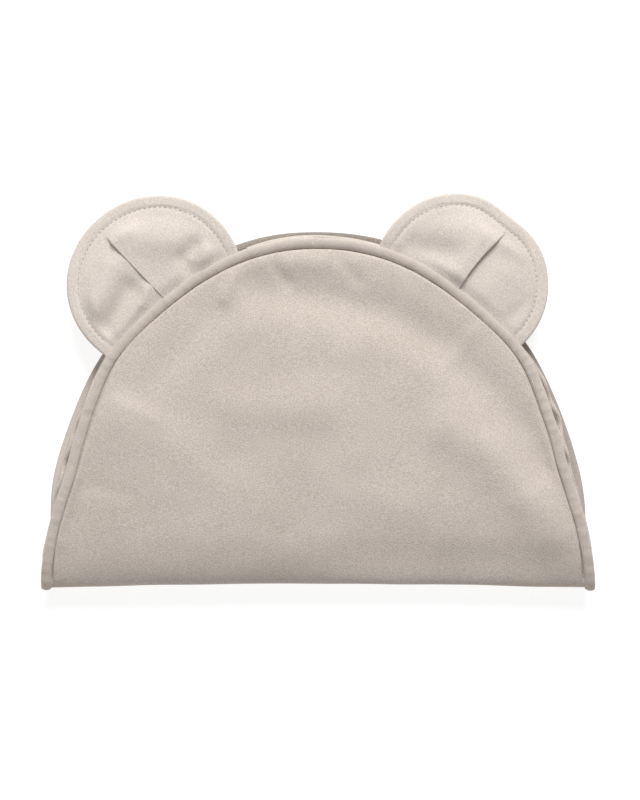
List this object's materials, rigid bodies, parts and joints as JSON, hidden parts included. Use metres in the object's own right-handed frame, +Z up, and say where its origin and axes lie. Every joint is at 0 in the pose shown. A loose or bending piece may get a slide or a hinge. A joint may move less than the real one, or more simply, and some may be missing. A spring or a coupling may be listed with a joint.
{
  "type": "hooded baby towel",
  "caption": "Folded hooded baby towel with bear ears: layered cloth packet with bound edges, a hood flap that opens round the bottom fold, and ears that flop.",
  "frame": {"origin": "middle of the underside of the folded towel", "axes": "+X along the bottom fold to the viewer's right, +Y from the bottom fold to the ears, +Z up out of the hood"},
  "size_m": [0.34, 0.244, 0.0259],
  "materials": {
    "jersey": "napped velour jersey, matt, warm sand",
    "terry": "looped terry, matt, light sand",
    "binding": "rib-knit edge binding, matt, sand",
    "thread": "sewing thread, matt, tone on tone",
    "label": "plain woven label, off-white, blank"
  },
  "bodies": {
    "folded_towel": {"lowest_panel_outer": "jersey", "lowest_panel_lining": "terry", "lowest_panel_left_wing_binding": "binding", "lowest_panel_right_wing_binding": "binding", "middle_panel_outer": "jersey", "middle_panel_lining": "terry", "middle_panel_left_wing_binding": "binding", "middle_panel_right_wing_binding": "binding", "top_panel_outer": "jersey", "top_panel_lining": "terry", "top_panel_left_wing_binding": "binding", "top_panel_right_wing_binding": "binding", "upper_turn": "jersey", "lower_turn": "jersey", "tail_binding": "binding"},
    "fold_spine": {"fold_outer": "jersey", "fold_lining": "terry", "fold_left_binding": "binding", "fold_right_binding": "binding"},
    "hood": {"hood_outer": "jersey", "hood_lining": "terry", "hood_binding": "binding", "pocket_panel": "jersey", "pocket_hem": "jersey", "care_label": "label", "ear_left_base": "jersey", "ear_right_base": "jersey"},
    "ear_left": {"ear_left_front": "jersey", "ear_left_back": "jersey", "ear_left_topstitch": "thread"},
    "ear_right": {"ear_right_front": "jersey", "ear_right_back": "jersey", "ear_right_topstitch": "thread"}
  },
  "joints": [
    {"name": "fold_turn", "type": "hinge", "parent": "folded_towel", "child": "fold_spine", "pos_m": [0, -0.1194, 0.00255], "axis": [1, 0, 0], "range_deg": [0, 90]},
    {"name": "hood_open", "type": "hinge", "parent": "fold_spine", "child": "hood", "pos_m": [0, -0.1194, 0.02335], "axis": [1, 0, 0], "range_deg": [0, 90]},
    {"name": "ear_left_flop", "type": "hinge", "parent": "hood", "child": "ear_left", "pos_m": [-0.09456, 0.06107, 0.0262], "axis": [-0.7523, -0.6589, 0], "range_deg": [-150, 0]},
    {"name": "ear_right_flop", "type": "hinge", "parent": "hood", "child": "ear_right", "pos_m": [0.0869, 0.0674, 0.0262], "axis": [-0.7899, 0.6132, 0], "range_deg": [-150, 0]}
  ],
  "couplings": [
    {"joint": "fold_turn", "follows": "hood_open", "ratio": 1}
  ]
}
